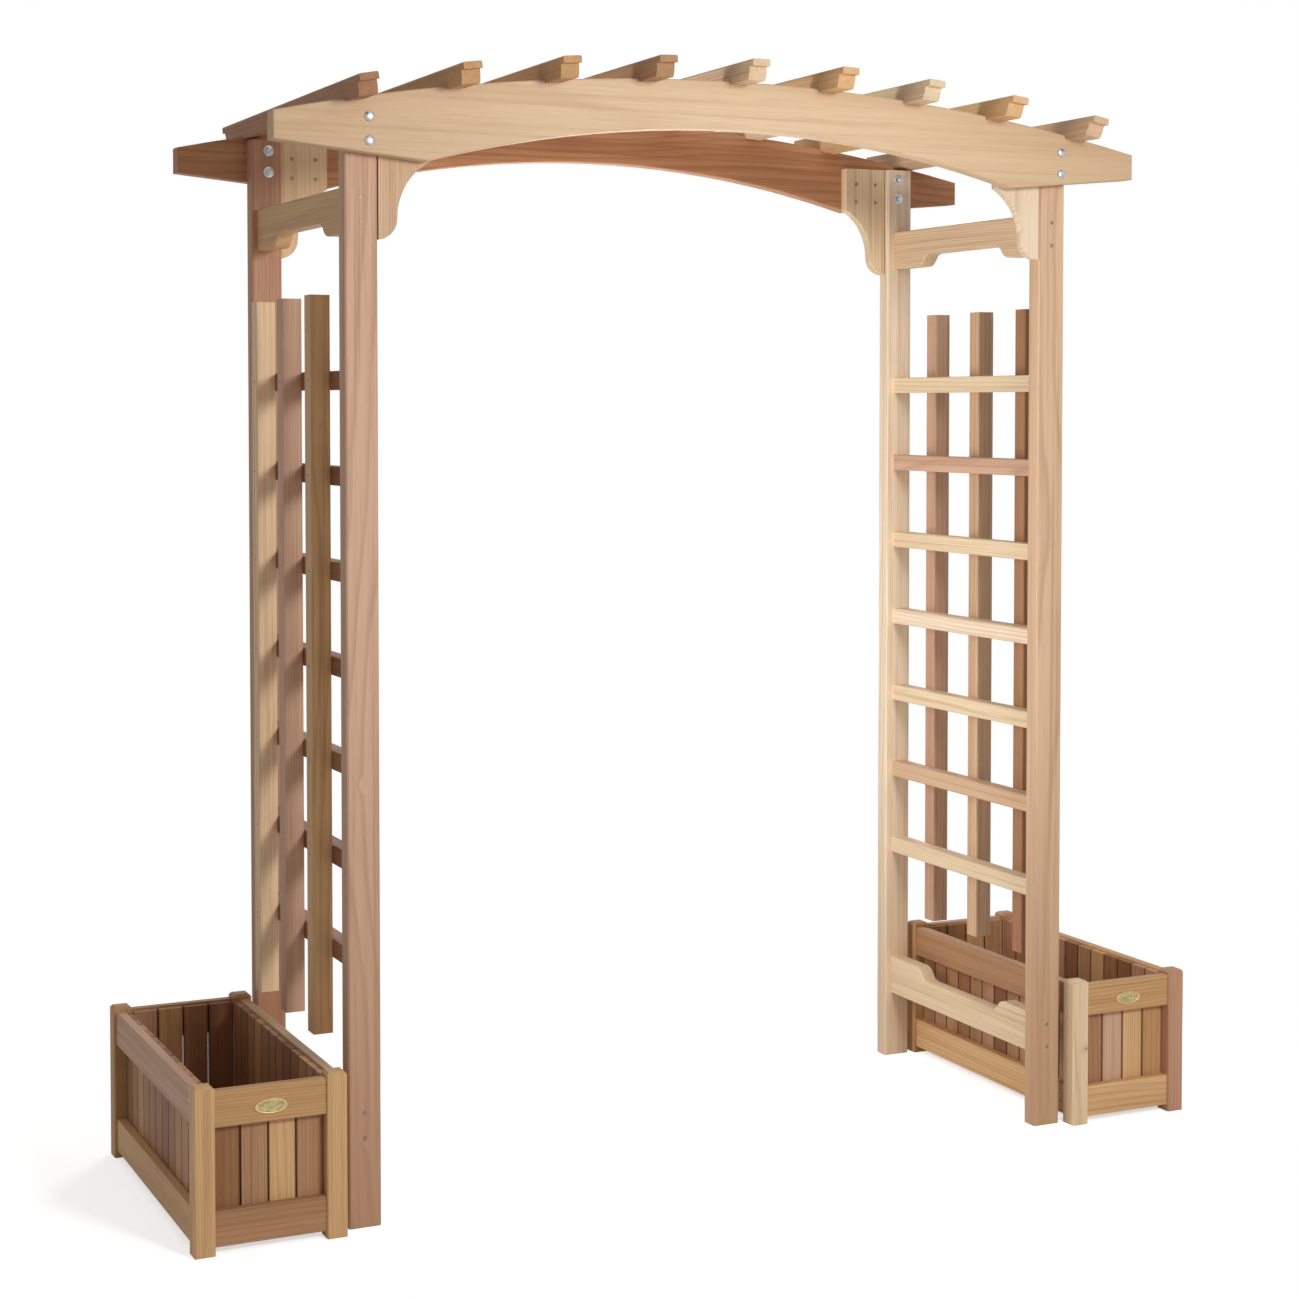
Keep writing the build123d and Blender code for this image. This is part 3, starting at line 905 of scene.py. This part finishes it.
class ARBOR_OT_bolts(Operator):
    """Model the carriage bolts, washers and nuts that hold the beams to the posts."""
    bl_idname = "arbor.bolts"
    bl_label = "Model Bolts"

    def execute(self, context):
        sizes = context.scene.arbor_fittings
        steel = plated_steel(context.scene.arbor_metals)
        low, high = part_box("carriage_bolts")
        head_radius = sizes.bolt_head / 2
        heights = (low.z + head_radius, high.z - head_radius)
        reach = high.x - head_radius
        first_turn = 0.35
        turn_step = 0.8
        heads, seats = [], []
        for corner in CORNERS:
            outwards = -1.0 if corner.startswith("front") else 1.0
            beam_low, beam_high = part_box("arch_beam_" + corner.split("_")[0])
            post_low, post_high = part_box("post_" + corner)
            outer = beam_low.y if outwards < 0 else beam_high.y
            inner = post_high.y if outwards < 0 else post_low.y
            across = reach if corner.endswith("right") else -reach
            for step, height in enumerate(heights):
                turn = first_turn + turn_step * step + across
                heads.append((Vector((across, outer, height)), (0, outwards, 0), turn))
                seats.append((Vector((across, inner, height)), (0, -outwards, 0), turn))

        head = self.bolt_head(sizes)
        end = self.bolt_end(sizes)
        washer = self.washer(sizes)
        nut = self.nut(sizes)
        bolts = copies(head, "carriage_bolt_heads", heads)
        ends = copies(end, "carriage_bolt_ends", seats)
        washers = copies(washer, "bolt_washers_round", seats)
        rise = Vector((0, sizes.washer_thickness, 0))
        nut_seats = [(spot + rise * direction[1], direction, turn) for spot, direction, turn in seats]
        nuts = copies(nut, "bolt_nuts_hex", nut_seats)
        for pattern in (head, end, washer, nut):
            discard(pattern)
        for piece in (bolts, ends, washers, nuts):
            coat(piece, steel)
            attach(piece, "arbor")
        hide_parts("carriage_bolts")
        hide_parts("bolt_washers")
        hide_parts("bolt_nuts")
        return {"FINISHED"}

    def bolt_head(self, sizes):
        """A low dome on a thin rim, with a small flat on top."""
        rim = sizes.bolt_dome * 0.24
        rise = sizes.bolt_dome - rim
        count = 6
        top = count + 0.6
        angles = [math.pi / 2 * step / top for step in range(count + 1)]
        steps = []
        for lower, upper in zip(angles, angles[1:]):
            steps.append((rise * (math.sin(upper) - math.sin(lower)), math.cos(upper) / math.cos(lower)))
        return round_head("bolt head", 40, sizes.bolt_head / 2, rim, steps)

    def bolt_end(self, sizes):
        """The threaded end that comes through the washer and nut."""
        core = 0.87
        tip_after_crest = 0.86
        tip_after_root = 0.96
        total = sizes.washer_thickness + sizes.nut_height + sizes.bolt_past_nut
        half = sizes.thread_pitch / 2
        steps = []
        reached = half
        wide = False
        while reached + half < total - half:
            steps.append((half, core if wide else 1 / core))
            wide = not wide
            reached += half
        steps.append((total - reached, tip_after_crest if wide else tip_after_root))
        return round_head("bolt end", 20, sizes.bolt_shank / 2 * core, half, steps)

    def washer(self, sizes):
        """A flat ring with softened edges."""
        clearance = 0.0004
        softening = sizes.washer_thickness * 0.28
        radius = sizes.washer_width / 2
        rim = radius * 0.98
        hole = sizes.bolt_shank / 2 + clearance
        thing = begin_round("washer", 40, radius, sizes.washer_thickness)
        pick(thing, "polygons", lambda face: abs(face.normal.z) > NEARLY_FLAT)
        bpy.ops.mesh.inset(thickness=radius - hole, use_individual=True)
        bpy.ops.mesh.bridge_edge_loops()

        def outer_edge(edge):
            first, second = edge_ends(thing, edge)
            return edge_middle(thing, edge).xy.length > rim and abs(first.z - second.z) < TOUCHING
        pick(thing, "edges", outer_edge)
        bpy.ops.mesh.bevel(offset=softening, segments=2, affect="EDGES")
        end_edit()
        return thing

    def nut(self, sizes):
        """A hexagon nut with turned corners and a round bore."""
        clearance = 0.0002
        softening = sizes.nut_height * 0.11
        half = sizes.nut_height / 2
        near_end = sizes.nut_height * 0.4
        thing = begin_round("nut", 6, sizes.nut_flats / math.sqrt(3), sizes.nut_height)
        pick(thing, "edges", lambda edge: abs(edge_middle(thing, edge).z - half) > near_end)
        bpy.ops.mesh.bevel(offset=softening, segments=2, affect="EDGES")
        end_edit()
        bore = begin_round("nut bore", 24, sizes.bolt_shank / 2 + clearance, sizes.nut_height * 2)
        end_edit()
        bore.data.transform(Matrix.Translation((0, 0, -half)))
        bpy.ops.object.select_all(action="DESELECT")
        bpy.context.view_layer.objects.active = thing
        thing.select_set(True)
        drill = thing.modifiers.new("Bore", "BOOLEAN")
        drill.operation = "DIFFERENCE"
        drill.object = bore
        bpy.ops.object.modifier_apply(modifier=drill.name)
        discard(bore)
        return thing


class ARBOR_OT_screws(Operator):
    """Model the wood screws and trellis nails."""
    bl_idname = "arbor.screws"
    bl_label = "Model Screws and Nails"

    def execute(self, context):
        sizes = context.scene.arbor_fittings
        zinc = dull_zinc(context.scene.arbor_metals)
        screw = self.screw(sizes)
        nail = self.nail(sizes)
        groups = {
            "bracket_screws": (screw, self.bracket_places()),
            "side_rail_screws": (screw, self.side_rail_places()),
            "rafter_screws": (screw, self.rafter_places()),
            "trellis_nails": (nail, self.trellis_places()),
        }
        for name, (pattern, places) in groups.items():
            piece = copies(pattern, name, places)
            coat(piece, zinc, degrees=40)
            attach(piece, "arbor")
        discard(screw)
        discard(nail)
        return {"FINISHED"}

    def screw(self, sizes):
        """A countersunk head, nearly flush, with a cross recess."""
        proud = 0.0004
        radius = sizes.screw_head / 2
        depth = radius * 0.6
        rim = depth * 0.99
        softening = radius * 0.10
        land = radius * 0.30
        lip = radius * 0.02
        recess = depth * 0.55
        recess_reach = radius * 0.58
        taper, recess_taper, arm_pinch = 0.5, 0.8, 0.5
        thing = begin_round("screw", 16, radius, depth)
        pick(thing, "polygons", faces_down)
        scale(taper)
        pick(thing, "edges", lambda edge: edge_middle(thing, edge).z > rim)
        bpy.ops.mesh.bevel(offset=softening, segments=1, affect="EDGES")
        pick(thing, "polygons", faces_up)
        bpy.ops.mesh.inset(thickness=land)
        bpy.ops.mesh.inset(thickness=lip)
        lift(-recess)
        scale(recess_taper)

        def between_arms(vertex):
            angle = math.degrees(math.atan2(vertex.co.y, vertex.co.x)) % 90
            return vertex.co.xy.length < recess_reach and 20 < angle < 70
        pick(thing, "vertices", between_arms)
        scale(arm_pinch)
        end_edit()
        thing.data.transform(Matrix.Translation((0, 0, proud - depth)))
        return thing

    def nail(self, sizes):
        """A small round head, slightly domed."""
        proud = 0.0003
        radius = sizes.nail_head / 2
        depth = radius * 0.7
        dome = ((radius * 0.14, 0.72),)
        thing = round_head("nail", 12, radius, depth, dome, taper=0.45)
        thing.data.transform(Matrix.Translation((0, 0, proud - depth)))
        return thing

    def bracket_places(self):
        """Two by two, on the inner face of each bracket, into the beam behind it."""
        from_post = (0.024, 0.074)
        below_bolts = 0.022
        dice = random.Random(5)
        bolt_low, bolt_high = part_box("carriage_bolts")
        places = []
        for corner in CORNERS:
            low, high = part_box("bracket_" + corner)
            inwards = 1.0 if corner.startswith("front") else -1.0
            face = high.y if inwards > 0 else low.y
            towards = 1.0 if corner.endswith("left") else -1.0
            post_side = low.x if towards > 0 else high.x
            for out in from_post:
                for height in (bolt_low.z, bolt_high.z - below_bolts):
                    spot = Vector((post_side + towards * out, face, height))
                    places.append((spot, (0, inwards, 0), dice.uniform(0, SCREW_TURN)))
        return places

    def side_rail_places(self):
        """Two through each post into the end of each side rail."""
        from_straight_edge = (0.020, 0.067)
        dice = random.Random(6)
        places = []
        for corner in CORNERS:
            line, side = corner.split("_")
            low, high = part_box("post_" + corner)
            outwards = -1.0 if line == "front" else 1.0
            face = low.y if outwards < 0 else high.y
            for level in ("top", "bottom"):
                rail_low, rail_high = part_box("%s_side_rail_%s" % (level, side))
                for inset in from_straight_edge:
                    height = rail_high.z - inset if level == "top" else rail_low.z + inset
                    spot = Vector((middle("post_" + corner).x, face, height))
                    places.append((spot, (0, outwards, 0), dice.uniform(0, SCREW_TURN)))
        return places

    def rafter_places(self):
        """One down through each rafter into each beam."""
        rafter_count = 9
        least_area = 0.0001
        dice = random.Random(7)
        places = []
        for number in range(1, rafter_count + 1):
            rafter = frame["nodes"]["rafter_%d" % number]
            centre = middle("rafter_%d" % number)
            tops = [face for face in rafter.data.polygons if faces_up(face) and face.area > least_area]
            top = max(tops, key=lambda face: face.center.z)
            normal = top.normal.copy()
            for beam in ("front", "back"):
                line = middle("arch_beam_" + beam).y
                height = top.center.z - (normal.x * (centre.x - top.center.x)) / normal.z
                spot = Vector((centre.x, line, height))
                places.append((spot, tuple(normal), dice.uniform(0, SCREW_TURN)))
        return places

    def trellis_places(self):
        """One through each slat into each trellis rail."""
        rail_height = bpy.context.scene.arbor_fittings.trellis_rail
        places = []
        for side in SIDES:
            low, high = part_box("trellis_rails_" + side)
            pitch = (high.z - low.z - rail_height) / (TRELLIS_RAILS - 1)
            for line in SLAT_LINES:
                slat_low, slat_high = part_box("trellis_slat_%s_%s" % (line, side))
                outwards = -1.0 if side == "left" else 1.0
                face = slat_low.x if outwards < 0 else slat_high.x
                for number in range(TRELLIS_RAILS):
                    height = low.z + rail_height / 2 + number * pitch
                    spot = Vector((face, (slat_low.y + slat_high.y) / 2, height))
                    places.append((spot, (outwards, 0, 0), 0.0))
        return places


class ARBOR_OT_plates(Operator):
    """Model the bare oval plates on the planters' front rails."""
    bl_idname = "arbor.plates"
    bl_label = "Model Oval Plates"

    def execute(self, context):
        sizes = context.scene.arbor_fittings
        metals = context.scene.arbor_metals
        metal, aged = brass(metals), aged_brass(metals)
        plate = self.plate(sizes)
        pin = self.pin(sizes)
        pin_reach = sizes.plate_width * 0.41
        pin_seat = sizes.plate_thickness * 0.55
        field_depth = sizes.plate_thickness * 0.7
        for side in SIDES:
            low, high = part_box("planter_top_end_rails_" + side)
            across = (low.x + high.x) / 2
            height = (low.z + high.z) / 2 - sizes.plate_drop
            spot = Vector((across, low.y, height))
            forwards = (0, -1, 0)
            oval = copies(plate, "oval_plate_" + side, [(spot, forwards, 0.0)])
            spots = [Vector((across + pin_reach * end, low.y - pin_seat, height)) for end in (-1, 1)]
            pins = copies(pin, "plate_pins_" + side, [(one, forwards, 0.0) for one in spots])
            for piece in (oval, pins):
                coat(piece, metal)
                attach(piece, "planter_" + side)
            oval.data.materials.append(aged)
            for face in oval.data.polygons:
                sunk = face.center.y > low.y - field_depth
                face.material_index = int(face.normal.y < -NEARLY_FLAT and sunk)
        discard(plate)
        discard(pin)
        return {"FINISHED"}

    def plate(self, sizes):
        """An oval with a rounded rim round a sunk, bare field."""
        radius = sizes.plate_height / 2
        rim_width = radius * 0.13
        rim_rounding = radius * 0.045
        field_drop = sizes.plate_thickness * 0.42
        field_taper = 0.97
        rim_top = sizes.plate_thickness * 0.99
        stretch = sizes.plate_width / sizes.plate_height
        thing = begin_round("plate", 64, radius, sizes.plate_thickness)
        pick(thing, "polygons", faces_up)
        bpy.ops.mesh.inset(thickness=rim_width)
        lift(-field_drop)
        scale(field_taper)

        def rim_edge(edge):
            first, second = edge_ends(thing, edge)
            around = abs(first.xy.length - second.xy.length) < TOUCHING
            return edge_middle(thing, edge).z > rim_top and around
        pick(thing, "edges", rim_edge)
        bpy.ops.mesh.bevel(offset=rim_rounding, segments=3, affect="EDGES")
        bpy.ops.mesh.select_all(action="SELECT")
        bpy.ops.transform.resize(value=(stretch, 1.0, 1.0), center_override=(0, 0, 0))
        end_edit()
        return thing

    def pin(self, sizes):
        """A small domed pin head."""
        radius = sizes.plate_height * 0.07
        rim = radius * 0.3
        dome = ((radius * 0.35, 0.86), (radius * 0.22, 0.66))
        return round_head("pin", 16, radius, rim, dome)


class ARBOR_OT_stage(Operator):
    """Set up the camera, soft lamps and a pale floor."""
    bl_idname = "arbor.stage"
    bl_label = "Set Up Stage"

    def execute(self, context):
        stage = context.scene.arbor_stage
        self.camera(context, stage)
        self.lamp(context, "Front Lamp", *FRONT_LAMP, stage.key_power)
        self.lamp(context, "Walkway Lamp", *WALKWAY_LAMP, stage.fill_power)
        self.lamp(context, "Back Lamp", *BACK_LAMP, stage.back_power)
        self.sky(context, stage)
        self.floor(stage)
        context.scene.view_settings.view_transform = "Standard"
        return {"FINISHED"}

    def camera(self, context, stage):
        farthest = 60.0
        data = bpy.data.cameras.new("Camera")
        data.lens = stage.camera_lens
        data.shift_y = stage.camera_shift
        data.clip_end = farthest
        camera = bpy.data.objects.new("Camera", data)
        camera.location = stage.camera_place
        camera.rotation_euler = (math.pi / 2 + stage.camera_pitch, 0.0, -stage.camera_yaw)
        context.collection.objects.link(camera)
        context.scene.camera = camera

    def lamp(self, context, name, place, target, size, power):
        data = bpy.data.lights.new(name, "AREA")
        data.shape = "RECTANGLE"
        data.size, data.size_y = size
        data.energy = power
        lamp = bpy.data.objects.new(name, data)
        lamp.location = place
        lamp.rotation_euler = (Vector(target) - Vector(place)).to_track_quat("-Z", "Y").to_euler()
        lamp.visible_camera = False
        context.collection.objects.link(lamp)

    def sky(self, context, stage):
        world = bpy.data.worlds.new("White Studio")
        world.use_nodes = True
        context.scene.world = world
        wire = Wire(world.node_tree)
        background = world.node_tree.nodes["Background"]
        background.inputs["Color"].default_value = (1.0, 1.0, 1.0, 1.0)
        shown = self.shown_rays(wire)
        strength = shown * (1.0 - stage.sky_strength) + stage.sky_strength
        world.node_tree.links.new(strength.socket, background.inputs["Strength"])

    def shown_rays(self, wire):
        """Rays that show the background itself: from the camera, in metal and through glass."""
        path = wire.node("ShaderNodeLightPath").socket.node
        kinds = ("Is Camera Ray", "Is Glossy Ray", "Is Transmission Ray")
        camera, glossy, through = (Wire(wire.tree, path.outputs[one]) for one in kinds)
        return camera.math("MAXIMUM", camera, glossy.math("MAXIMUM", glossy, through))

    def floor(self, stage):
        """A floor that keeps the shadow near the piece and is white further out."""
        below_feet = 0.0006
        own_light = 0.60
        specks = 40.0
        pure_white = (1.0, 1.0, 1.0, 1.0)
        dull_white = (0.98, 0.98, 0.98, 1.0)
        warm_grey = (0.80, 0.79, 0.78, 1.0)
        bpy.ops.object.select_all(action="DESELECT")
        bpy.ops.mesh.primitive_plane_add(size=stage.floor_reach, location=(0, 0, 0))
        floor = bpy.context.object
        floor.name = "floor"
        floor.data.transform(Matrix.Translation((0, 0, -below_feet)))
        material = bpy.data.materials.new("Pale Floor")
        material.use_nodes = True
        tree = material.node_tree
        tree.nodes.clear()
        wire = Wire(tree)
        x, y, _ = wire.node("ShaderNodeTexCoord", output="Object").parts()
        past_x = abs(x) - (CAD_HIGH.x + stage.slide_reach)
        past_y = abs(y) - CAD_HIGH.y
        past = past_x.math("MAXIMUM", past_x, past_y)
        fade = past.smooth(0.0, stage.shadow_reach)
        speck = wire.noise(wire.vector(x * specks, y * specks, 0.0), detail=3.0)
        tint = wire.blend(speck, dull_white, pure_white)
        lit = wire.node("ShaderNodeBsdfDiffuse", inputs={"Color": tint})
        glow = wire.node("ShaderNodeEmission", inputs={"Color": pure_white, "Strength": own_light})
        white = wire.node("ShaderNodeEmission", inputs={"Color": pure_white, "Strength": 1.0})
        near = wire.node("ShaderNodeAddShader", inputs={0: lit, 1: glow})
        shown = wire.node("ShaderNodeMixShader", inputs={0: fade, 1: near, 2: white})
        bounce = wire.node("ShaderNodeBsdfDiffuse", inputs={"Color": warm_grey})
        whole = wire.node("ShaderNodeMixShader", inputs={0: self.shown_rays(wire), 1: bounce, 2: shown})
        out = tree.nodes.new("ShaderNodeOutputMaterial")
        tree.links.new(whole.socket, out.inputs["Surface"])
        floor.data.materials.append(material)


class ARBOR_PT_build(Panel):
    """Lists the steps in order."""
    bl_idname = "ARBOR_PT_build"
    bl_label = "Cedar Arbor"
    bl_space_type = "VIEW_3D"
    bl_region_type = "UI"
    bl_category = "Arbor"

    def draw(self, context):
        for step in STEPS:
            self.layout.operator(step.bl_idname)


GROUPS = {
    "arbor_tones": CedarTones,
    "arbor_metals": MetalTones,
    "arbor_grain": GrainSettings,
    "arbor_fittings": FittingSizes,
    "arbor_stage": StageSettings,
}
STEPS = (
    ARBOR_OT_stage, ARBOR_OT_posts, ARBOR_OT_beams, ARBOR_OT_rafters, ARBOR_OT_side_frames,
    ARBOR_OT_planters, ARBOR_OT_bolts, ARBOR_OT_screws, ARBOR_OT_plates,
)


def register():
    for kind in (*GROUPS.values(), *STEPS, ARBOR_PT_build):
        bpy.utils.register_class(kind)
    for name, group in GROUPS.items():
        setattr(bpy.types.Scene, name, PointerProperty(type=group))


def unregister():
    for name in GROUPS:
        delattr(bpy.types.Scene, name)
    for kind in reversed((*GROUPS.values(), *STEPS, ARBOR_PT_build)):
        bpy.utils.unregister_class(kind)


def main():
    register()
    for step in STEPS:
        getattr(bpy.ops.arbor, step.bl_idname.split(".")[1])()


if __name__ == "__main__":
    main()
